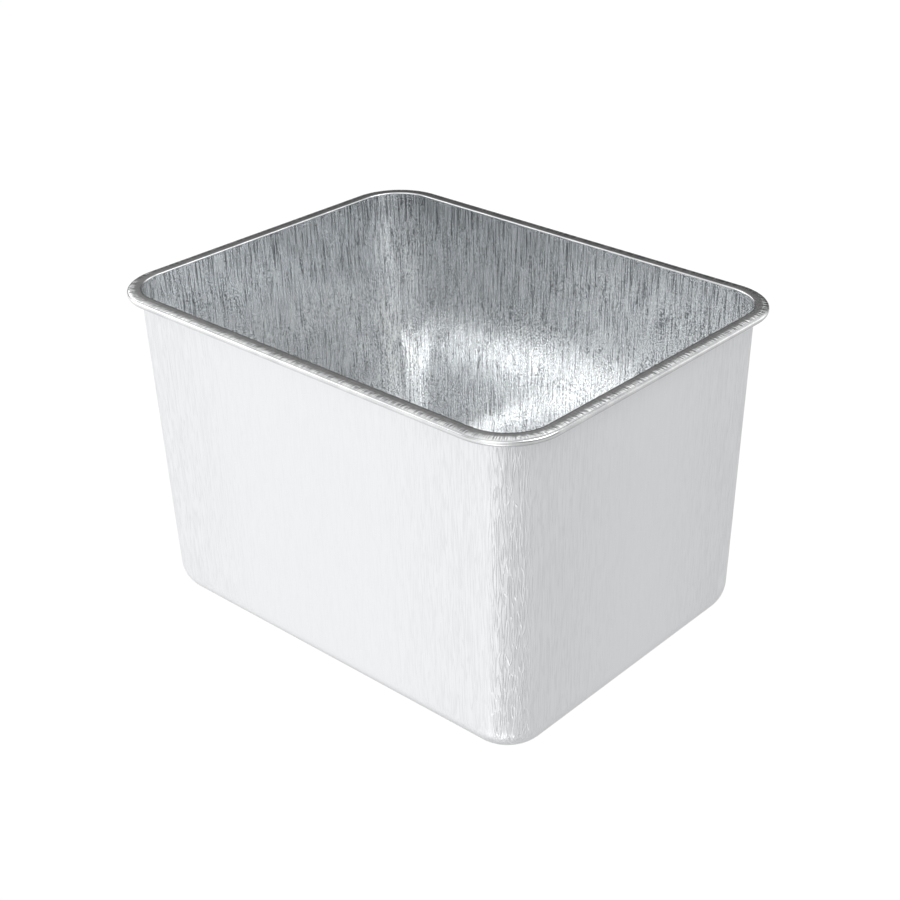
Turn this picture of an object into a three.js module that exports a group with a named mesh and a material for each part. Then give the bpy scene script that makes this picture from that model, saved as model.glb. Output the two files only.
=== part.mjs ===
// A deep, smooth-walled foil baking pan: a drawn aluminium sheet with a rolled rim, lacquered white outside.
// Millimetres, +Z up, long side along X. The origin is the middle of the underside, on the table.
import * as THREE from 'three';

// Driving dimensions
const RIM_LENGTH = 150; // over the rolled rim, along X
const RIM_BREADTH = 116.4; // over the rolled rim, along Y
const HEIGHT = 97.4; // from the table to the top of the rim
const RIM_CORNER_RADIUS = 16.6; // outer corner of the rim, seen from above
const RIM_WIDTH = 4.1; // from the mouth to the outer edge of the rim
const RIM_DEPTH = 2.1; // from the top of the rim to its underside
const LIP_RADIUS = 0.5; // bend from the wall into the rim, on the bare face
const WALL_TAPER = THREE.MathUtils.degToRad(1.28); // lean of each wall
const FLOOR_BEND_RADIUS = 9.8; // bend from the wall to the floor, on the lacquered face
const SHEET_THICKNESS = 0.2;
const LACQUER_THICKNESS = 0.07;

// Clearances
const BOND_GAP = 0.03; // between the sheet and its lacquer
const ROLL_SEAM_GAP = 0.05; // between the top of the drawn wall and the start of the roll
const FREE_EDGE_GAP = 0.3; // between the free edge of the curl and the lacquered wall

// Fineness of the round stretches
const CORNER_STEPS = 10;
const FLOOR_BEND_STEPS = 7;
const LIP_STEPS = 4;
const CURL_STEPS = 12;
const LEAST_CORNER_RADIUS = 0.2;

// Sizes that follow from the ones above
const CURL_RADIUS = RIM_DEPTH / 2;
const MOUTH_CORNER_RADIUS = RIM_CORNER_RADIUS - RIM_WIDTH;
const SHEET_OUTER_FACE = SHEET_THICKNESS;
const LACQUER_INNER_FACE = SHEET_OUTER_FACE + BOND_GAP;
const LACQUER_OUTER_FACE = LACQUER_INNER_FACE + LACQUER_THICKNESS;
const WALL_TOP = HEIGHT - LIP_RADIUS - ROLL_SEAM_GAP;
const LACQUER_TOP = HEIGHT - RIM_DEPTH / 2;

// A station is one level of a surface: how far it lies inside the outer edge of the rim, its height, and its
// corner radius seen from above.
const station = (inset, z, corner) => ({ inset, z, corner });

// The points of a station, anticlockwise seen from above: a rectangle with round corners.
function outline({ inset, z, corner }) {
  const radius = Math.max(corner, LEAST_CORNER_RADIUS);
  const centreX = RIM_LENGTH / 2 - inset - radius;
  const centreY = RIM_BREADTH / 2 - inset - radius;
  const signs = [[1, 1], [-1, 1], [-1, -1], [1, -1]];
  return signs.flatMap(([sideX, sideY], quarter) =>
    Array.from({ length: CORNER_STEPS + 1 }, (_, step) => {
      const angle = (quarter + step / CORNER_STEPS) * (Math.PI / 2);
      const x = sideX * centreX + radius * Math.cos(angle);
      const y = sideY * centreY + radius * Math.sin(angle);
      return new THREE.Vector3(x, y, z);
    }),
  );
}

// Angles from one to another, both ends included.
function sweep(from, to, steps) {
  return Array.from({ length: steps + 1 }, (_, step) => from + ((to - from) * step) / steps);
}

// How far inside the rim's outer edge a wall face lies at a height. Faces are counted outwards from the bare
// face of the sheet, square to the wall.
function wallInset(face, z) {
  return RIM_WIDTH - face / Math.cos(WALL_TAPER) + Math.tan(WALL_TAPER) * (HEIGHT - z);
}

// One face of the drawn shape, from the edge of the floor round the bend and up the wall.
function drawnFace(face, top) {
  const radius = FLOOR_BEND_RADIUS - (LACQUER_OUTER_FACE - face);
  const centreZ = FLOOR_BEND_RADIUS;
  const centreInset = wallInset(LACQUER_OUTER_FACE, centreZ) + FLOOR_BEND_RADIUS / Math.cos(WALL_TAPER);
  const wallCorner = MOUTH_CORNER_RADIUS + face;
  const bend = sweep(Math.PI / 2, WALL_TAPER, FLOOR_BEND_STEPS).map((angle) => {
    const inset = centreInset - radius * Math.cos(angle);
    const drawnIn = radius * (Math.cos(WALL_TAPER) - Math.cos(angle));
    return station(inset, centreZ - radius * Math.sin(angle), wallCorner - drawnIn);
  });
  return [...bend, station(wallInset(face, top), top, wallCorner)];
}

// One face of the rim, from the top of the wall over the lip, across the flat top, round the curl and back under
// to the free edge. Depth is measured into the sheet from its bare face.
function rolledFace(depth) {
  const follow = (inset, z) => station(inset, z, RIM_CORNER_RADIUS - inset);
  const lipRadius = LIP_RADIUS - depth;
  const lipZ = HEIGHT - LIP_RADIUS;
  const lipInset = wallInset(0, lipZ) - LIP_RADIUS / Math.cos(WALL_TAPER);
  const lip = sweep(WALL_TAPER, Math.PI / 2, LIP_STEPS).map((angle) =>
    follow(lipInset + lipRadius * Math.cos(angle), lipZ + lipRadius * Math.sin(angle)),
  );
  const curlZ = HEIGHT - CURL_RADIUS;
  const curlRadius = CURL_RADIUS - depth;
  const curl = sweep(Math.PI / 2, (3 * Math.PI) / 2, CURL_STEPS).map((angle) =>
    follow(CURL_RADIUS + curlRadius * Math.cos(angle), curlZ + curlRadius * Math.sin(angle)),
  );
  const underside = curlZ - curlRadius;
  const freeEdge = wallInset(LACQUER_OUTER_FACE, HEIGHT - RIM_DEPTH) - FREE_EDGE_GAP;
  return [...lip, ...curl, follow(freeEdge, underside)];
}

// A closed solid through a run of stations. A ring joins its last station to its first. Otherwise both ends are
// closed by flat faces.
function loft(stations, { ring }) {
  const outlines = stations.map(outline);
  const perOutline = outlines[0].length;
  const points = outlines.flat();
  const triangles = [];
  const spans = ring ? outlines.length : outlines.length - 1;
  for (let span = 0; span < spans; span += 1) {
    const lower = span * perOutline;
    const upper = ((span + 1) % outlines.length) * perOutline;
    for (let i = 0; i < perOutline; i += 1) {
      const next = (i + 1) % perOutline;
      triangles.push([lower + i, lower + next, upper + next], [lower + i, upper + next, upper + i]);
    }
  }
  if (!ring) {
    const first = points.push(new THREE.Vector3(0, 0, stations[0].z)) - 1;
    const last = points.push(new THREE.Vector3(0, 0, stations.at(-1).z)) - 1;
    const lastOutline = (outlines.length - 1) * perOutline;
    for (let i = 0; i < perOutline; i += 1) {
      const next = (i + 1) % perOutline;
      triangles.push([first, next, i], [last, lastOutline + i, lastOutline + next]);
    }
  }
  const geometry = new THREE.BufferGeometry().setFromPoints(points);
  geometry.setIndex(triangles.flat());
  geometry.computeVertexNormals();
  return geometry;
}

// The drawn sheet or its lacquer: up the outer face, over the top edge and down the inner face.
function drawnShell(outerFace, innerFace, top) {
  return loft([...drawnFace(outerFace, top), ...drawnFace(innerFace, top).reverse()], { ring: false });
}

// The rolled edge: from the free edge along the bare face to the wall, and back along the inside of the curl.
function rolledEdge() {
  return loft([...rolledFace(0).reverse(), ...rolledFace(SHEET_THICKNESS)], { ring: true });
}

function piece(name, geometry, finish) {
  const mesh = new THREE.Mesh(geometry, new THREE.MeshStandardMaterial(finish));
  mesh.name = name;
  return mesh;
}

const bareAluminium = { color: 0xb4b8bc, roughness: 0.32, metalness: 1 };
const rolledAluminium = { color: 0xc4c7ca, roughness: 0.25, metalness: 1 };
const whiteLacquer = { color: 0xf2f3f4, roughness: 0.38, metalness: 0 };

const pan = new THREE.Group();
pan.add(piece('foil_body', drawnShell(SHEET_OUTER_FACE, 0, WALL_TOP), bareAluminium));
pan.add(piece('rolled_rim', rolledEdge(), rolledAluminium));
pan.add(piece('outer_lacquer', drawnShell(LACQUER_OUTER_FACE, LACQUER_INNER_FACE, LACQUER_TOP), whiteLacquer));

export default pan;
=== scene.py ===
"""A deep foil baking pan: bare aluminium inside, white lacquer outside, and a rolled rim.

Metres, in the frame of the solids: +Z up, long side along X, origin in the middle of the underside.
"""
import math

import bmesh
import bpy
import numpy as np
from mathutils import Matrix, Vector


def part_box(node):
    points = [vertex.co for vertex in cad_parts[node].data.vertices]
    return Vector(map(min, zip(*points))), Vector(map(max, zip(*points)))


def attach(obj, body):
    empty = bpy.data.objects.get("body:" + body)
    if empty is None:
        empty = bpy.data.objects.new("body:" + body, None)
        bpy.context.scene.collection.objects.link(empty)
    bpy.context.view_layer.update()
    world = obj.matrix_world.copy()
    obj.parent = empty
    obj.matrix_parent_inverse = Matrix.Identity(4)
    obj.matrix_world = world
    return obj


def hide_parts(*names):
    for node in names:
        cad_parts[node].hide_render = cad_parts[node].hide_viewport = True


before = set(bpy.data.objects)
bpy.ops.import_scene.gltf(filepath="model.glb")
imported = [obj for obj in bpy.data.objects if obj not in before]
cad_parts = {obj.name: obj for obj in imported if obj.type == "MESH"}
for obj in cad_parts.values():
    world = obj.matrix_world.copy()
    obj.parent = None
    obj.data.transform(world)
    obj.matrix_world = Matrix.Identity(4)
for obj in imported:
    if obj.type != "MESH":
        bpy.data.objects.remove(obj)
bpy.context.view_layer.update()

MM = 0.001

# Sizes read from the solids
RIM_LOW, RIM_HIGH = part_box("rolled_rim")
RIM_LENGTH = RIM_HIGH.x - RIM_LOW.x
RIM_BREADTH = RIM_HIGH.y - RIM_LOW.y
RIM_DEPTH = RIM_HIGH.z - RIM_LOW.z
HEIGHT = RIM_HIGH.z

# Sizes of the drawn sheet and its rolled edge
RIM_CORNER_RADIUS = 16.6 * MM
RIM_WIDTH = 4.1 * MM
LIP_RADIUS = 0.35 * MM
WALL_TAPER = math.radians(1.28)
FLOOR_BEND_RADIUS = 9.8 * MM
WALL_STACK = 0.3 * MM  # sheet, bond and lacquer together
SHEET_SHARE = 0.07 * MM  # of the stack, the sheet's part
LACQUER_SHARE = 0.07 * MM  # of the stack, the lacquer's part
WELD_DISTANCE = 0.001 * MM
ROLL_THICKNESS = 0.2 * MM
FREE_EDGE_GAP = 0.3 * MM
EDGE_CLEARANCE = 0.002 * MM  # keeps the rim just inside the solid's box
MOUTH_CORNER_RADIUS = RIM_CORNER_RADIUS - RIM_WIDTH
CURL_RADIUS = RIM_DEPTH / 2
CROWN_INSET = 1.9 * MM  # from the outer edge to where the top of the rim begins to fall
CROWN_RADIUS = 4.3 * MM  # of that gentle fall
SHOULDER_INSET = 0.5 * MM  # from the outer edge to where the fall turns down into the side

# Fineness of the drawn faces: columns go round the pan, rows go up it
SHARP_ANGLE = math.radians(50)
COLUMN_ON_SIDE = 0.5 * MM
COLUMNS_ON_CORNER = 100
SEEN_ROWS = {"floor": 8, "bend": 12, "wall": 40}
HIDDEN_ROWS = {"floor": 2, "bend": 4, "wall": 10}

# Fineness of the rim: steps over its section, and the step round the mouth
SEEN_STEPS = {"lip": 5, "top": 4, "curl": 8}
HIDDEN_STEPS = {"lip": 2, "top": 2, "curl": 4}
RIM_STEP = 0.28 * MM
RIM_CORNER_POINTS = 64

# Drawing creases, the same on both faces of the sheet
CREASE_DEPTH = 0.14 * MM
CREASE_WIDTH = 0.9 * MM
CREASE_LENGTH = 15 * MM
CREASE_WAVER = 2.2
CREASE_DRIFT = 0.35  # how quickly they waver, counted in creases
BROAD_CREASES = (0.5, 1.2)  # how close and how high the broad ones are, counted in creases
FINE_CREASES = (1.0, 1.6)  # the same for the fine ones
CREASE_FADE = 4 * MM  # below the rim
CREASE_PLACE = (3.1, 7.7, 1.9)
SHEET_CREASES = 0.3  # how much of the depth the walls of the sheet have
LACQUER_CREASES = 0.12  # the same for the lacquer
CREASES_AT_RIM = 0.3  # what is left of them at the top of the wall
SHEET_GATHER = 2.6  # how much deeper they are on the corners
LACQUER_GATHER = 2.5  # the same for the lacquer
CORNER_BLEND = 7 * MM  # the length of side over which gathered creases die out
SHEET_GATHER_END = 7 * MM  # where they end, counted along the side from the end of the corner
LACQUER_GATHER_END = -1 * MM  # the same for the lacquer: still on the corner
BRAID_FADE = (-7.5 * MM, -2.5 * MM)  # where the braided lines on the corners die out, counted the same way
LINE_FADE = 40 * MM  # where the thin lines in the lacquer die out

# Marks in the finishes. They come from noises whose middle value is the same
NOISE_MIDDLE = 0.5
DRIFT = 0.3  # how quickly upright marks waver, counted in marks

# Marks in the lacquer: upright ones have a width and a length
LACQUER_LINE = (0.5 * MM, 14 * MM)
LINE_WAVER = 2.0
LINE_HEIGHT = 0.25  # of the relief
# Grooves are sunk in the relief, and their colour is darkened with painted shade
GROOVE_WIDTH = 0.1  # as a part of the noise's range
GROOVE_DEPTH = 0.1
GROOVE_FADE = 0.75  # what is lost of the grooves away from the corners
BRAIDED_LINE = (0.65 * MM, 6 * MM)
BRAID_WAVER = 1.5
BRAID_WIDTH = 0.1
BRAID_HEIGHT = 0.55
BRAIDS_BEGIN = (2 * MM, FLOOR_BEND_RADIUS)  # heights over which they grow
LACQUER_RELIEF = 0.2 * MM

# Marks in the bare sheet
STREAK = (0.3 * MM, 12 * MM)
STREAK_WAVER = 1.5
STREAKS_GROW = (HEIGHT - 28 * MM, HEIGHT - 4 * MM)  # heights over which streaks grow stronger
STREAKS_AT_RIM = 0.5  # how much stronger
SPECK = 0.4 * MM
SPECK_DEPTH = 0.4  # against the streaks
SHEET_GREYS = (0.36, 0.51)  # where in the noise the sheet is fully dark and fully light
SHEET_RELIEF = 0.037 * MM

# Marks on the roll, and shade painted onto it
HAIR = 0.42 * MM
HAIR_EDGE = (0.4, 0.55)  # where in the noise a hair line begins and ends
HAIRS_OFF_CROWN = 0.2  # what is left of them away from the crown
HAIR_RELIEF = 0.08 * MM
CLOUD = 6 * MM
CLOUD_EDGE = (0.3, 0.7)
CLOUD_SHARE = 0.3  # how much the clouds dull the roll
# Painted shade on the roll: how far its colour is darkened on hair lines over the crown, along the shoulder
# to dim its highlight, and low in the fold by the wall
HAIR_PAINTED_SHADE = 0.8
SHOULDER_PAINTED_SHADE = 0.4
FOLD_PAINTED_SHADE = 0.55

# Roughness of the finishes: its middle, its change with the marks, and its lowest and highest value
LACQUER_ROUGHNESS = (0.3, 0.14, 0.28, 0.45)
SHEET_ROUGHNESS = (0.14, 0.1, 0.1, 0.4)
ROLL_ROUGHNESS = (0.17, 0.1, 0.1, 0.4)

# Colours of the finishes, each from a darker to a lighter one
LACQUER_METALLIC = 0.75  # a pearly white
LACQUER_IOR = 1.5
# The lacquer's darker colour is painted shade in the grooves of its drawing lines
LACQUER_GROOVE_SHADE, LACQUER_WHITE = (0.84, 0.85, 0.868), (0.925, 0.935, 0.953)
SHEET_DARK, SHEET_LIGHT = (0.33, 0.339, 0.35), (0.985, 0.995, 1.0)
# The roll's darker colour is both its cloudy random tone and the painted shade of its fold, shoulder and
# crown hair lines
ROLL_DARK_TONE_AND_SHADE, ROLL_BRIGHT = (0.5, 0.51, 0.52), (0.93, 0.935, 0.94)

# Puckers across the roll
PUCKER_DEPTH = 0.1 * MM
PUCKER_WIDTH = 0.42 * MM
PUCKER_LEVEL = 0.6  # the value of the noise above which the roll is smooth
BROAD_PUCKERS = (0.45, 1.5)  # how close and how deep the broad ones are, against the fine ones
DEEPEST_PUCKER = 1.2  # against their depth
CORNER_PUCKERS = 0.6  # how much deeper they are on the corners
CORNER_PUCKERS_GROW = (0.2 * MM, 3 * MM)  # distances in from the side over which they grow

# Zones of the roll, as distances round its section from the wall. Shade is painted on the shoulder and low
# in the fold
CROWN_BEGINS = (2.2 * MM, 2.7 * MM)
CROWN_ENDS = (3.0 * MM, 4.2 * MM)
SHOULDER_BEGINS = (3.5 * MM, 3.9 * MM)
SHOULDER_ENDS = (4.1 * MM, 4.6 * MM)
FOLD_BEGINS = (4.9 * MM, 5.5 * MM)

# The photograph's camera
CAMERA_PLACE = (284.5 * MM, -303.3 * MM, 272.2 * MM)
CAMERA_PITCH = math.radians(-28.29)
CAMERA_HEADING = math.radians(40.30)
CAMERA_SENSOR = 36
CAMERA_LENS = 65.53
CAMERA_SHIFT_X = -0.0785
CAMERA_CLIP = 10 * MM

# Studio. A soft light is (turn from -Y towards +X, rise above the floor, spread, strength), in degrees
SOFT_LIGHTS = [
    (13.5, 35.5, 35, 1.6),
    (-62, 19.5, 18.5, 3.3),
    (107.5, 46.5, 19, 3.6),
    (148, 50.5, 8, 3.7),
    (179, 33, 13.5, 1.1),
    (-124.5, 37, 8, 0.2),
    (-111, 65, 26, 1.2),
    (-151.5, 41, 8.5, 1.2),
    (153, 13, 17, 1.8),
    (-104.5, 25, 10, 2.6),
    (17, -61.5, 11.5, 1.5),
    (90.5, 57, 10, 2.8),
]
GLOW = 0.046
TABLE_LEVEL = 0.535  # the white table below the horizon, as the pan mirrors it
TABLE_GAIN = 0.335  # more than that on its bright side
TABLE_TURN = -41  # of the bright side
TABLE_BRIGHT_SIDE = (0.17, 0.5)  # cosines of the turn over which it grows
TABLE_EDGE = 0.12  # how softly the table ends at the horizon
FLOOR_BRIGHTNESS = 1.02
FLOOR_RADIUS = 2.0
SWEEP_RADIUS = 1.5
BACKDROP_HEIGHT = 5.0
FLOOR_SIDES = 64
SWEEP_STEPS = 8
GLOSSY_BOUNCES = 8


class Wire:
    """One socket of a node graph. Python's operators on it add Math nodes."""

    def __init__(self, graph, socket):
        self.graph = graph
        self.socket = socket

    def maths(self, operation, *values):
        sockets = dict(enumerate(values))
        return self.graph.node("ShaderNodeMath", {"operation": operation}, sockets)

    def __add__(self, other):
        return self.maths("ADD", self, other)

    def __radd__(self, other):
        return self.maths("ADD", other, self)

    def __sub__(self, other):
        return self.maths("SUBTRACT", self, other)

    def __rsub__(self, other):
        return self.maths("SUBTRACT", other, self)

    def __mul__(self, other):
        return self.maths("MULTIPLY", self, other)

    def __rmul__(self, other):
        return self.maths("MULTIPLY", other, self)

    def __truediv__(self, other):
        return self.maths("DIVIDE", self, other)

    def __rtruediv__(self, other):
        return self.maths("DIVIDE", other, self)

    def __abs__(self):
        return self.maths("ABSOLUTE", self)

    def clamped(self, low, high):
        return self.graph.node("ShaderNodeClamp", {}, {"Value": self, "Min": low, "Max": high})

    def eased(self, low, high):
        """0 below low, 1 above high, and a smooth step between."""
        sockets = {"Value": self, "From Min": low, "From Max": high}
        return self.graph.node("ShaderNodeMapRange", {"interpolation_type": "SMOOTHSTEP"}, sockets)

    def along_middle(self, width):
        """1 where a noise has its middle value, falling to 0 at a width from it."""
        return 1 - abs(self - NOISE_MIDDLE).eased(0, width)


class Graph:
    """A node tree that is being wired."""

    def __init__(self, tree):
        self.tree = tree
        tree.nodes.clear()

    def node(self, kind, settings, sockets, output=0):
        """Adds a node: its settings first, then the values or wires of its sockets. Returns one output."""
        made = self.tree.nodes.new(kind)
        for name, value in settings.items():
            setattr(made, name, value)
        for name, value in sockets.items():
            if isinstance(value, Wire):
                self.tree.links.new(value.socket, made.inputs[name])
            else:
                made.inputs[name].default_value = value
        return Wire(self, made.outputs[output])

    def noise(self, point, scale, detail, output="Fac"):
        sockets = {"Vector": point, "Scale": scale, "Detail": detail}
        return self.node("ShaderNodeTexNoise", {"noise_dimensions": "3D"}, sockets, output)

    def stretched(self, point, scales, place=(0, 0, 0)):
        """A point with each axis scaled by itself, then moved."""
        settings = {"operation": "MULTIPLY_ADD"}
        return self.node("ShaderNodeVectorMath", settings, {0: point, 1: scales, 2: place})

    def upright(self, point, mark):
        """A point counted in marks of a width and an upright length."""
        width, length = mark
        return self.stretched(point, (1 / width, 1 / width, 1 / length))

    def scaled(self, vector, share):
        return self.node("ShaderNodeVectorMath", {"operation": "SCALE"}, {0: vector, "Scale": share})

    def named(self, name, kind):
        """A value stored at the points of the geometry."""
        return self.node("GeometryNodeInputNamedAttribute", {"data_type": kind}, {"Name": name})

    def moved(self, point, by, share):
        """A point moved by a share of another vector."""
        settings = {"operation": "MULTIPLY_ADD"}
        return self.node("ShaderNodeVectorMath", settings, {0: by, 1: (share, share, share), 2: point})


# Sections: a station is (inset from the rim's outer edge, height, corner radius seen from above)


def wall_inset(face, z):
    """Inset of a wall face at a height. Faces are counted outwards from the bare face."""
    return RIM_WIDTH - face / math.cos(WALL_TAPER) + math.tan(WALL_TAPER) * (HEIGHT - z)


def drawn_face(face, top, rows):
    """Stations of one face of the drawn shape, from the edge of the floor up to the top of the wall."""
    radius = FLOOR_BEND_RADIUS - (WALL_STACK - face)
    centre_inset = wall_inset(WALL_STACK, FLOOR_BEND_RADIUS) + FLOOR_BEND_RADIUS / math.cos(WALL_TAPER)
    corner = MOUTH_CORNER_RADIUS + face
    stations = []
    for angle in np.linspace(math.pi / 2, WALL_TAPER, rows["bend"] + 1):
        drawn_in = radius * (math.cos(WALL_TAPER) - math.cos(angle))
        inset = centre_inset - radius * math.cos(angle)
        stations.append((inset, FLOOR_BEND_RADIUS - radius * math.sin(angle), corner - drawn_in))
    for z in np.linspace(stations[-1][1], top, rows["wall"] + 1)[1:]:
        stations.append((wall_inset(face, z), z, corner))
    return stations


def rolled_face(depth, steps):
    """Points (inset, height) of one face of the rim, from the wall over the lip to the free edge."""
    lip_z = HEIGHT - LIP_RADIUS
    lip_inset = wall_inset(0, lip_z) - LIP_RADIUS / math.cos(WALL_TAPER)
    lip_radius = LIP_RADIUS - depth
    crown_angle = math.asin((CROWN_INSET - SHOULDER_INSET) / CROWN_RADIUS)
    shoulder_angle = math.pi / 2 - crown_angle
    shoulder_radius = SHOULDER_INSET / (1 - math.cos(shoulder_angle))
    crown_drop = CROWN_RADIUS * (1 - math.cos(crown_angle))
    shoulder_z = HEIGHT - crown_drop - shoulder_radius * math.sin(shoulder_angle)
    points = []
    for angle in np.linspace(WALL_TAPER, math.pi / 2, steps["lip"] + 1):
        points.append((lip_inset + lip_radius * math.cos(angle), lip_z + lip_radius * math.sin(angle)))
    for inset in np.linspace(lip_inset, CROWN_INSET, steps["top"] + 1)[1:-1]:
        points.append((inset, HEIGHT - depth))
    for angle in np.linspace(0, crown_angle, steps["curl"] + 1):
        radius = CROWN_RADIUS - depth
        z = HEIGHT - CROWN_RADIUS + radius * math.cos(angle)
        points.append((CROWN_INSET - radius * math.sin(angle), z))
    for angle in np.linspace(shoulder_angle, 0, steps["curl"] + 1)[1:]:
        radius = shoulder_radius - depth
        points.append((shoulder_radius - radius * math.cos(angle), shoulder_z + radius * math.sin(angle)))
    low_drop = shoulder_z - (HEIGHT - RIM_DEPTH) - depth
    for angle in np.linspace(0, math.pi / 2, steps["curl"] + 1)[1:]:
        radius = CURL_RADIUS - depth
        points.append((CURL_RADIUS - radius * math.cos(angle), shoulder_z - low_drop * math.sin(angle)))
    free_edge = wall_inset(WALL_STACK, HEIGHT - RIM_DEPTH) - FREE_EDGE_GAP
    points.append((free_edge, HEIGHT - RIM_DEPTH + depth))
    return points


# Meshes


def outline_columns():
    """For each column round the pan: its quarter, the share of the side after it, and its angle."""
    sides = [RIM_LENGTH, RIM_BREADTH, RIM_LENGTH, RIM_BREADTH]
    quarters, shares, angles = [], [], []
    for quarter, side in enumerate(sides):
        for step in range(COLUMNS_ON_CORNER):
            quarters.append(quarter)
            shares.append(0.0)
            angles.append((quarter + step / COLUMNS_ON_CORNER) * math.pi / 2)
        count = round((side - 2 * RIM_CORNER_RADIUS) / COLUMN_ON_SIDE)
        for step in range(count):
            quarters.append(quarter)
            shares.append(step / count)
            angles.append((quarter + 1) * math.pi / 2)
    return np.array(quarters), np.array(shares), np.array(angles)


QUARTERS, SHARES, ANGLES = outline_columns()


def distance_from_corner():
    """For each column: how far along its side the nearest corner ends. Less than 0 on the corners."""
    lengths = np.array([RIM_LENGTH, RIM_BREADTH])[QUARTERS % 2] - 2 * RIM_CORNER_RADIUS
    from_side = np.minimum(ANGLES - QUARTERS * math.pi / 2, (QUARTERS + 1) * math.pi / 2 - ANGLES)
    return np.minimum(SHARES, 1 - SHARES) * lengths - from_side * MOUTH_CORNER_RADIUS


def outline(station):
    """The points of one station, anticlockwise seen from above."""
    inset, z, corner = station
    signs = np.array([(1, 1), (-1, 1), (-1, -1), (1, -1)], float)
    centres = signs * (RIM_LENGTH / 2 - inset - corner, RIM_BREADTH / 2 - inset - corner)
    here, after = centres[QUARTERS], centres[(QUARTERS + 1) % 4]
    flat = here + (after - here) * SHARES[:, None]
    flat = flat + corner * np.stack([np.cos(ANGLES), np.sin(ANGLES)], axis=1)
    return np.column_stack([flat, np.full(len(flat), z)])


def floor_rings(edge, count):
    """Rings from the floor's middle line out to its edge, the edge itself left out."""
    half_line = edge[:, 0].max() - edge[:, 1].max()
    middle = edge.copy()
    middle[:, 0] = np.clip(edge[:, 0], -half_line, half_line)
    middle[:, 1] = 0
    return [middle + (edge - middle) * share for share in np.linspace(0, 1, count + 1)[:-1]]


def drawn_rings(face, top, rows, on_wall):
    """The rings of one face, from the floor's middle to the top of the wall, and the relief of each."""
    stations = drawn_face(face, top, rows)
    rings = [outline(station) for station in stations]
    relief = [0.0] * rows["floor"]
    for step, station in enumerate(stations):
        up_bend = min(step / rows["bend"], 1)
        under_rim = min((top - station[1]) / CREASE_FADE, 1)
        relief.append(on_wall * up_bend**2 * (CREASES_AT_RIM + (1 - CREASES_AT_RIM) * under_rim))
    return {"rings": floor_rings(rings[0], rows["floor"]) + rings, "relief": relief}


def shell(name, outer, inner):
    """A closed shell from the rings of an outer face, going up, and of an inner face."""
    rings = outer["rings"] + inner["rings"][::-1]
    columns = len(QUARTERS)
    points = np.concatenate(rings)
    relief = outer["relief"] + inner["relief"][::-1]
    lower = np.arange(len(rings) - 1)[:, None] * columns + np.arange(columns)[None, :]
    following = np.roll(lower, -1, axis=1)
    quads = np.stack([lower, following, following + columns, lower + columns], axis=2).reshape(-1, 4)
    mesh = bpy.data.meshes.new(name)
    mesh.from_pydata(points.tolist(), [], quads.tolist())
    mesh.attributes.new("relief", "FLOAT", "POINT").data.foreach_set("value", np.repeat(relief, columns))
    away = np.tile(distance_from_corner(), len(rings))
    mesh.attributes.new("from_corner", "FLOAT", "POINT").data.foreach_set("value", away)
    work = bmesh.new()
    work.from_mesh(mesh)
    bmesh.ops.remove_doubles(work, verts=work.verts, dist=WELD_DISTANCE)
    for edge in work.edges:
        edge.smooth = edge.calc_face_angle(0) < SHARP_ANGLE
    work.to_mesh(mesh)
    work.free()
    piece = bpy.data.objects.new(name, mesh)
    bpy.context.scene.collection.objects.link(piece)
    return piece


def new_geometry_tree(name, inputs):
    """An empty geometry tree with named inputs. Returns its graph, input wires and output socket."""
    tree = bpy.data.node_groups.new(name, "GeometryNodeTree")
    tree.interface.new_socket("Geometry", in_out="OUTPUT", socket_type="NodeSocketGeometry")
    tree.interface.new_socket("Geometry", in_out="INPUT", socket_type="NodeSocketGeometry")
    for label, kind in inputs.items():
        tree.interface.new_socket(label, in_out="INPUT", socket_type=kind)
    graph = Graph(tree)
    entry = tree.nodes.new("NodeGroupInput")
    leave = tree.nodes.new("NodeGroupOutput")
    wires = {label: Wire(graph, entry.outputs[label]) for label in ["Geometry", *inputs]}
    return graph, wires, leave.inputs["Geometry"]


def close_geometry_tree(graph, geometry, material, leave):
    """Ends a tree: smooth faces, real geometry and a material."""
    smooth = graph.node("GeometryNodeSetShadeSmooth", {}, {"Geometry": geometry})
    real = graph.node("GeometryNodeRealizeInstances", {}, {"Geometry": smooth})
    finished = graph.node("GeometryNodeSetMaterial", {}, {"Geometry": real, "Material": material})
    graph.tree.links.new(finished.socket, leave)


def settled(piece, tree, values):
    """Runs a geometry tree on a piece and returns a plain mesh object of the same name."""
    modifier = piece.modifiers.new(tree.name, "NODES")
    modifier.node_group = tree
    for item in tree.interface.items_tree:
        if item.in_out == "INPUT" and item.name in values:
            modifier[item.identifier] = values[item.name]
    depsgraph = bpy.context.evaluated_depsgraph_get()
    mesh = bpy.data.meshes.new_from_object(piece.evaluated_get(depsgraph))
    name = piece.name
    piece.modifiers.remove(modifier)
    bpy.data.objects.remove(piece)
    mesh.name = name
    plain = bpy.data.objects.new(name, mesh)
    bpy.context.scene.collection.objects.link(plain)
    return plain


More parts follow.
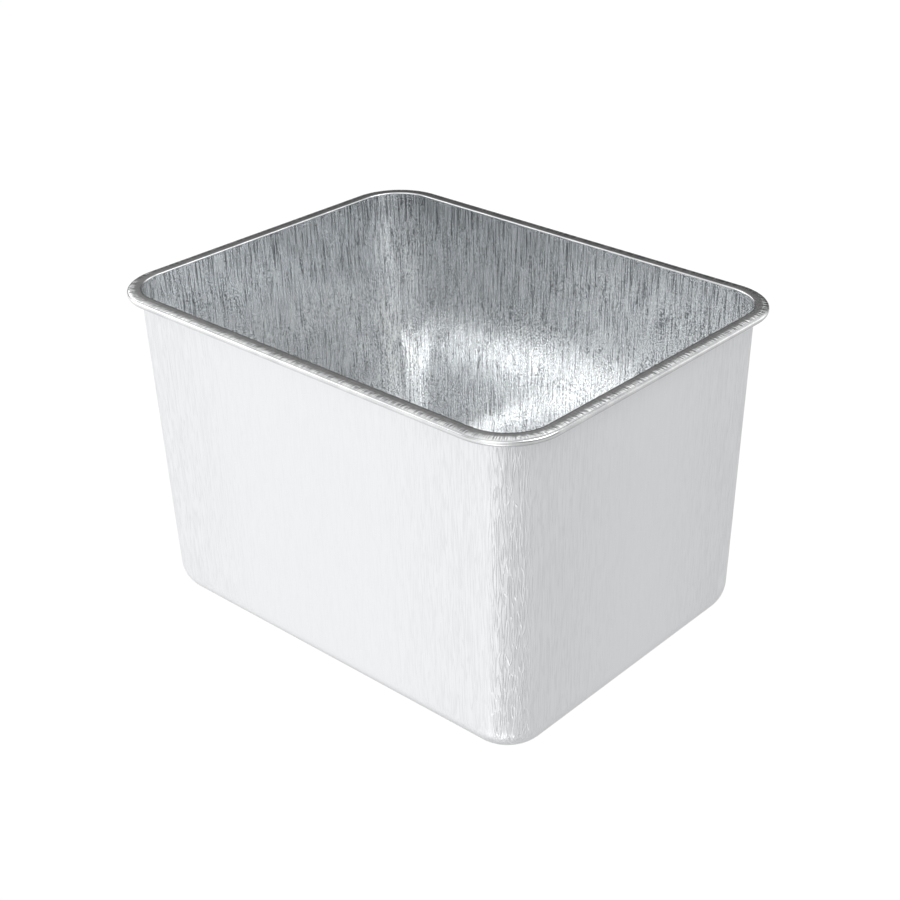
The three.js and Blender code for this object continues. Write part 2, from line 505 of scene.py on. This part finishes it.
def creases_tree():
    """Upright drawing creases: long wavering ridges that push a drawn face in and out along its normal."""
    inputs = {
        "Depth": "NodeSocketFloat",
        "Width": "NodeSocketFloat",
        "Length": "NodeSocketFloat",
        "Waver": "NodeSocketFloat",
        "Corner gain": "NodeSocketFloat",
        "Corner end": "NodeSocketFloat",
        "Place": "NodeSocketVector",
        "Material": "NodeSocketMaterial",
    }
    graph, given, leave = new_geometry_tree("drawing_creases", inputs)
    position = graph.node("GeometryNodeInputPosition", {}, {})
    normal = graph.node("GeometryNodeInputNormal", {}, {})
    relief = graph.named("relief", "FLOAT")
    away = graph.named("from_corner", "FLOAT")
    corner_end = given["Corner end"]
    gathered = 1 + given["Corner gain"] * (1 - away.eased(corner_end - CORNER_BLEND, corner_end))
    across = 1 / given["Width"]
    along = 1 / given["Length"]
    scales = graph.node("ShaderNodeCombineXYZ", {}, {0: across, 1: across, 2: along})
    point = graph.stretched(position, scales, given["Place"])
    drift = graph.noise(point, CREASE_DRIFT, 1, output="Color")
    amount = graph.scaled(drift, given["Waver"])
    wavering = graph.node("ShaderNodeVectorMath", {"operation": "ADD"}, {0: point, 1: amount})
    heights = []
    for closeness, share in [BROAD_CREASES, FINE_CREASES]:
        heights.append((graph.noise(wavering, closeness, 1) - NOISE_MIDDLE) * share)
    height = heights[0] + heights[1]
    offset = graph.scaled(normal, height * relief * gathered * given["Depth"])
    creased = graph.node("GeometryNodeSetPosition", {}, {"Geometry": given["Geometry"], "Offset": offset})
    close_geometry_tree(graph, creased, given["Material"], leave)
    return graph.tree


def kept_as(graph, geometry, name, kind, value):
    """Geometry with a value stored under a name at its points."""
    sockets = {"Geometry": geometry, "Name": name, "Value": value}
    return graph.node("GeometryNodeStoreNamedAttribute", {"data_type": kind, "domain": "POINT"}, sockets)


def crown_share(round_way):
    """1 on the crown of the roll, 0 on its flat top and on its side."""
    return round_way.eased(*CROWN_BEGINS) * (1 - round_way.eased(*CROWN_ENDS))


def shoulder_shade(round_way):
    """1 along the shoulder, where the roll turns down into its side, and 0 elsewhere: where shade is
    painted to dim the shoulder's highlight.
    """
    return round_way.eased(*SHOULDER_BEGINS) * (1 - round_way.eased(*SHOULDER_ENDS))


def fold_shade(round_way):
    """1 low on the roll, where it turns in towards the wall, and 0 above: where the shade in the fold is
    painted.
    """
    return round_way.eased(*FOLD_BEGINS)


def roll_tree():
    """The rim: its section swept round the mouth, with small puckers across the roll."""
    inputs = {
        "Length": "NodeSocketFloat",
        "Breadth": "NodeSocketFloat",
        "Corner radius": "NodeSocketFloat",
        "Step": "NodeSocketFloat",
        "Pucker depth": "NodeSocketFloat",
        "Pucker width": "NodeSocketFloat",
        "Material": "NodeSocketMaterial",
    }
    graph, given, leave = new_geometry_tree("rolled_section_round_mouth", inputs)
    sockets = {"Width": given["Length"], "Height": given["Breadth"]}
    rectangle = graph.node("GeometryNodeCurvePrimitiveQuadrilateral", {"mode": "RECTANGLE"}, sockets)
    sockets = {"Curve": rectangle, "Radius": given["Corner radius"], "Count": RIM_CORNER_POINTS}
    rounded = graph.node("GeometryNodeFilletCurve", {"mode": "POLY"}, sockets)
    sockets = {"Curve": rounded, "Length": given["Step"]}
    path = graph.node("GeometryNodeResampleCurve", {"mode": "LENGTH"}, sockets)
    upright = graph.node("GeometryNodeSetCurveNormal", {"mode": "Z_UP"}, {"Curve": path})
    position = graph.node("GeometryNodeInputPosition", {}, {})
    distance = graph.node("GeometryNodeSplineParameter", {}, {}, "Length")
    path = kept_as(graph, upright, "place_on_rim", "FLOAT_VECTOR", position)
    section = kept_as(graph, given["Geometry"], "way_round", "FLOAT", distance)
    swept = graph.node("GeometryNodeCurveToMesh", {}, {"Curve": path, "Profile Curve": section})
    place = graph.named("place_on_rim", "FLOAT_VECTOR")
    round_way = graph.named("way_round", "FLOAT")
    normal = graph.node("GeometryNodeInputNormal", {}, {})
    spacing = 1 / given["Pucker width"]
    broad_closeness, broad_share = BROAD_PUCKERS
    broad = (graph.noise(place, spacing * broad_closeness, 1) - PUCKER_LEVEL) * broad_share
    fine = graph.noise(place, spacing, 1) - PUCKER_LEVEL
    parts = [graph.node("ShaderNodeSeparateXYZ", {}, {0: place}, axis) for axis in "XY"]
    beyond = [abs(part) - given[size] * 0.5 for part, size in zip(parts, ["Length", "Breadth"])]
    inside_side = 0 - beyond[0].maths("MAXIMUM", *beyond)
    on_corner = inside_side.eased(*CORNER_PUCKERS_GROW)
    height = (broad + fine).clamped(-DEEPEST_PUCKER, 0) * (1 + on_corner * CORNER_PUCKERS)
    offset = graph.scaled(normal, height * crown_share(round_way) * given["Pucker depth"])
    puckered = graph.node("GeometryNodeSetPosition", {}, {"Geometry": swept, "Offset": offset})
    close_geometry_tree(graph, puckered, given["Material"], leave)
    return graph.tree


# Finishes


def new_finish(name, constants):
    """A material with a Principled shader. Values that are the same all over are set on its own sockets."""
    material = bpy.data.materials.new(name)
    material.use_nodes = True
    graph = Graph(material.node_tree)
    shader = graph.tree.nodes.new("ShaderNodeBsdfPrincipled")
    for label, value in constants.items():
        shader.inputs[label].default_value = value
    end = graph.tree.nodes.new("ShaderNodeOutputMaterial")
    graph.tree.links.new(shader.outputs[0], end.inputs["Surface"])
    place = graph.node("ShaderNodeTexCoord", {}, {}, "Object")
    return material, graph, shader, place


def feed(graph, shader, **wires):
    """Links wires to a shader's sockets by their names."""
    for label, wire in wires.items():
        graph.tree.links.new(wire.socket, shader.inputs[label.replace("_", " ")])


def shade_between(graph, share, first, second):
    """A colour between two, by a share from 0 to 1."""
    settings = {"data_type": "RGBA"}
    return graph.node("ShaderNodeMix", settings, {0: share, 6: (*first, 1), 7: (*second, 1)}, 2)


def height_of(graph, place):
    """The height of a point, or how steeply a direction rises."""
    return graph.node("ShaderNodeSeparateXYZ", {}, {0: place}, "Z")


def bumped(graph, height, relief):
    """A normal tilted by a height map whose full range is a relief in metres."""
    return graph.node("ShaderNodeBump", {}, {"Height": height, "Distance": relief, "Strength": 1.0})


def roughness_from(marks, values):
    """A roughness that follows the marks in a finish."""
    middle, change, lowest, highest = values
    return (middle + (marks - NOISE_MIDDLE) * change).clamped(lowest, highest)


def white_lacquer():
    """Satin white lacquer over fine upright drawing lines, whose grooves are darkened with painted shade.
    """
    constants = {"Metallic": LACQUER_METALLIC, "IOR": LACQUER_IOR}
    material, graph, shader, place = new_finish("white_lacquer", constants)
    away = graph.node("ShaderNodeAttribute", {"attribute_name": "from_corner"}, {}, "Fac")
    lines = graph.upright(place, LACQUER_LINE)
    drift = graph.noise(lines, DRIFT, 1, output="Color")
    line_height = graph.noise(graph.moved(lines, drift, LINE_WAVER), 1.0, 1)
    grooves = line_height.along_middle(GROOVE_WIDTH) * (1 - GROOVE_FADE * away.eased(0, LINE_FADE))
    braids = graph.upright(place, BRAIDED_LINE)
    braid_height = graph.noise(graph.moved(braids, drift, BRAID_WAVER), 1.0, 0)
    above_bend = height_of(graph, place).eased(*BRAIDS_BEGIN)
    ridges = braid_height.along_middle(BRAID_WIDTH) * (1 - away.eased(*BRAID_FADE)) * above_bend
    # Painted shade: the grooves are mixed towards the darker colour
    colour = shade_between(graph, grooves, LACQUER_WHITE, LACQUER_GROOVE_SHADE)
    feed(graph, shader, Base_Color=colour, Roughness=roughness_from(line_height, LACQUER_ROUGHNESS))
    height = line_height * LINE_HEIGHT - grooves * GROOVE_DEPTH + ridges * BRAID_HEIGHT
    feed(graph, shader, Normal=bumped(graph, height, LACQUER_RELIEF))
    return material


def bare_aluminium():
    """Drawn bare sheet: fine upright streaks, with a speckle of tiny pits."""
    material, graph, shader, place = new_finish("bare_aluminium", {"Metallic": 1.0})
    lines = graph.upright(place, STREAK)
    drift = graph.noise(lines, DRIFT, 1, output="Color")
    streaks = graph.noise(graph.moved(lines, drift, STREAK_WAVER), 1.0, 1)
    speckle = graph.noise(place, 1 / SPECK, 0)
    under_rim = height_of(graph, place).eased(*STREAKS_GROW)
    mean = speckle * 0.5 + streaks * 0.5
    grey = (mean + (streaks - NOISE_MIDDLE) * under_rim * STREAKS_AT_RIM).eased(*SHEET_GREYS)
    colour = shade_between(graph, grey, SHEET_DARK, SHEET_LIGHT)
    feed(graph, shader, Base_Color=colour, Roughness=roughness_from(streaks, SHEET_ROUGHNESS))
    feed(graph, shader, Normal=bumped(graph, streaks + speckle * SPECK_DEPTH, SHEET_RELIEF))
    return material


def rolled_aluminium():
    """The rolled edge: brighter, with hair lines across the roll, and painted shade low in its fold, along
    its shoulder and on dark hair lines over its crown.
    """
    material, graph, shader, place = new_finish("rolled_aluminium", {"Metallic": 1.0})
    on_path = graph.node("ShaderNodeAttribute", {"attribute_name": "place_on_rim"}, {}, "Vector")
    round_way = graph.node("ShaderNodeAttribute", {"attribute_name": "way_round"}, {}, "Fac")
    hairs = graph.noise(on_path, 1 / HAIR, 1)
    clouds = graph.noise(place, 1 / CLOUD, 2)
    on_crown = crown_share(round_way)
    # Painted shade: darker low in the fold and along the shoulder
    painted_shade = FOLD_PAINTED_SHADE * fold_shade(round_way) + SHOULDER_PAINTED_SHADE * shoulder_shade(round_way)
    # Painted shade: dark hair lines over the crown, between the glints of its comb
    painted_shade = painted_shade + (1 - hairs.eased(*HAIR_EDGE)) * on_crown * HAIR_PAINTED_SHADE
    bright = clouds.eased(*CLOUD_EDGE) * CLOUD_SHARE + (1 - CLOUD_SHARE) - painted_shade
    colour = shade_between(graph, bright, ROLL_DARK_TONE_AND_SHADE, ROLL_BRIGHT)
    feed(graph, shader, Base_Color=colour, Roughness=roughness_from(hairs, ROLL_ROUGHNESS))
    strength = HAIRS_OFF_CROWN + (1 - HAIRS_OFF_CROWN) * on_crown
    feed(graph, shader, Normal=bumped(graph, (hairs - NOISE_MIDDLE) * strength, HAIR_RELIEF))
    return material


# Pieces


def drawn_piece(name, tree, faces, corner_gain, corner_end, material):
    """One creased layer of the drawn shape, from its two faces."""
    values = {
        "Corner gain": corner_gain,
        "Corner end": corner_end,
        "Depth": CREASE_DEPTH,
        "Width": CREASE_WIDTH,
        "Length": CREASE_LENGTH,
        "Waver": CREASE_WAVER,
        "Place": CREASE_PLACE,
        "Material": material,
    }
    piece = settled(shell(name, *faces), tree, values)
    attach(piece, "root")
    return piece


def make_sheet(tree, material):
    """The bare sheet: floor, bend, walls and corners up to the lip."""
    top = HEIGHT - LIP_RADIUS
    back = drawn_rings(SHEET_SHARE, top, HIDDEN_ROWS, SHEET_CREASES)
    bare = drawn_rings(0, top, SEEN_ROWS, -SHEET_CREASES)
    piece = drawn_piece("drawn_sheet", tree, (back, bare), SHEET_GATHER, SHEET_GATHER_END, material)
    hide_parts("foil_body")


def make_lacquer(tree, material):
    """The white coat on the sheet's outer face, up behind the roll."""
    top = HEIGHT - CURL_RADIUS
    white = drawn_rings(WALL_STACK, top, SEEN_ROWS, LACQUER_CREASES)
    back = drawn_rings(WALL_STACK - LACQUER_SHARE, top, HIDDEN_ROWS, -LACQUER_CREASES)
    piece = drawn_piece("lacquer_coat", tree, (white, back), LACQUER_GATHER, LACQUER_GATHER_END, material)
    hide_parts("outer_lacquer")


def make_rim(tree, material):
    """The rolled edge round the mouth."""
    bare = rolled_face(0, SEEN_STEPS)
    back = rolled_face(ROLL_THICKNESS, HIDDEN_STEPS)
    section = bare + back[::-1]
    curve = bpy.data.curves.new("rim_section", "CURVE")
    spline = curve.splines.new("POLY")
    spline.points.add(len(section) - 1)
    for point, (inset, z) in zip(spline.points, section):
        point.co = (-inset, -z, 0, 1)
    spline.use_cyclic_u = True
    piece = bpy.data.objects.new("rolled_edge", curve)
    bpy.context.scene.collection.objects.link(piece)
    values = {
        "Length": RIM_LENGTH - EDGE_CLEARANCE,
        "Breadth": RIM_BREADTH - EDGE_CLEARANCE,
        "Corner radius": RIM_CORNER_RADIUS,
        "Step": RIM_STEP,
        "Pucker depth": PUCKER_DEPTH,
        "Pucker width": PUCKER_WIDTH,
        "Material": material,
    }
    piece = settled(piece, tree, values)
    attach(piece, "root")
    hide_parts("rolled_rim")


# Studio


def make_floor():
    """A round pale floor that sweeps up into a backdrop."""
    sweep = np.linspace(0, math.pi / 2, SWEEP_STEPS + 1)
    radii = FLOOR_RADIUS + SWEEP_RADIUS * np.sin(sweep)
    heights = SWEEP_RADIUS * (1 - np.cos(sweep))
    profile = [*zip(radii, heights), (radii[-1], BACKDROP_HEIGHT)]
    turns = np.arange(FLOOR_SIDES) * 2 * math.pi / FLOOR_SIDES
    points = [(r * math.cos(turn), r * math.sin(turn), z) for r, z in profile for turn in turns]
    faces = [tuple(range(FLOOR_SIDES))]
    for ring in range(len(profile) - 1):
        for side in range(FLOOR_SIDES):
            here = ring * FLOOR_SIDES + side
            after = ring * FLOOR_SIDES + (side + 1) % FLOOR_SIDES
            faces.append((here, after, after + FLOOR_SIDES, here + FLOOR_SIDES))
    mesh = bpy.data.meshes.new("studio_floor")
    mesh.from_pydata(points, [], faces)
    floor = bpy.data.objects.new("studio_floor", mesh)
    bpy.context.scene.collection.objects.link(floor)
    constants = {
        "Base Color": (0, 0, 0, 1),
        "Specular IOR Level": 0.0,
        "Emission Color": (1, 1, 1, 1),
        "Emission Strength": FLOOR_BRIGHTNESS,
    }
    mesh.materials.append(new_finish("pale_floor", constants)[0])
    floor.visible_diffuse = False
    floor.visible_glossy = False
    floor.visible_shadow = False


def towards(graph, direction, turn, rise):
    """The cosine between a direction and one that is given by its turn and rise, in degrees."""
    turn, rise = math.radians(turn), math.radians(rise)
    middle = (math.sin(turn) * math.cos(rise), -math.cos(turn) * math.cos(rise), math.sin(rise))
    settings = {"operation": "DOT_PRODUCT"}
    return graph.node("ShaderNodeVectorMath", settings, {0: direction, 1: middle}, "Value")


def make_world():
    """A white table below, and soft lights, each a round glow that fades from its middle."""
    world = bpy.data.worlds.new("studio")
    bpy.context.scene.world = world
    world.use_nodes = True
    graph = Graph(world.node_tree)
    direction = graph.node("ShaderNodeTexCoord", {}, {}, "Generated")
    below = 1 - height_of(graph, direction).eased(-TABLE_EDGE, TABLE_EDGE)
    bright_side = towards(graph, direction, TABLE_TURN, 0).eased(*TABLE_BRIGHT_SIDE)
    total = GLOW + below * (TABLE_LEVEL + TABLE_GAIN * bright_side)
    for turn, rise, spread, strength in SOFT_LIGHTS:
        fading = (towards(graph, direction, turn, rise) - 1) / (1 - math.cos(math.radians(spread)))
        total = total + fading.maths("EXPONENT", fading) * strength
    background = graph.node("ShaderNodeBackground", {}, {"Color": (1, 1, 1, 1), "Strength": total})
    end = graph.tree.nodes.new("ShaderNodeOutputWorld")
    graph.tree.links.new(background.socket, end.inputs["Surface"])


def make_camera():
    camera = bpy.data.cameras.new("camera")
    camera.sensor_width = CAMERA_SENSOR
    camera.lens = CAMERA_LENS
    camera.shift_x = CAMERA_SHIFT_X
    camera.clip_start = CAMERA_CLIP
    holder = bpy.data.objects.new("camera", camera)
    bpy.context.scene.collection.objects.link(holder)
    holder.location = CAMERA_PLACE
    holder.rotation_euler = (math.pi / 2 + CAMERA_PITCH, 0, CAMERA_HEADING)
    bpy.context.scene.camera = holder


def make_studio():
    make_camera()
    make_floor()
    make_world()
    bpy.context.scene.view_settings.view_transform = "Standard"
    bpy.context.scene.cycles.glossy_bounces = GLOSSY_BOUNCES


make_studio()
creases = creases_tree()
make_sheet(creases, bare_aluminium())
make_lacquer(creases, white_lacquer())
make_rim(roll_tree(), rolled_aluminium())
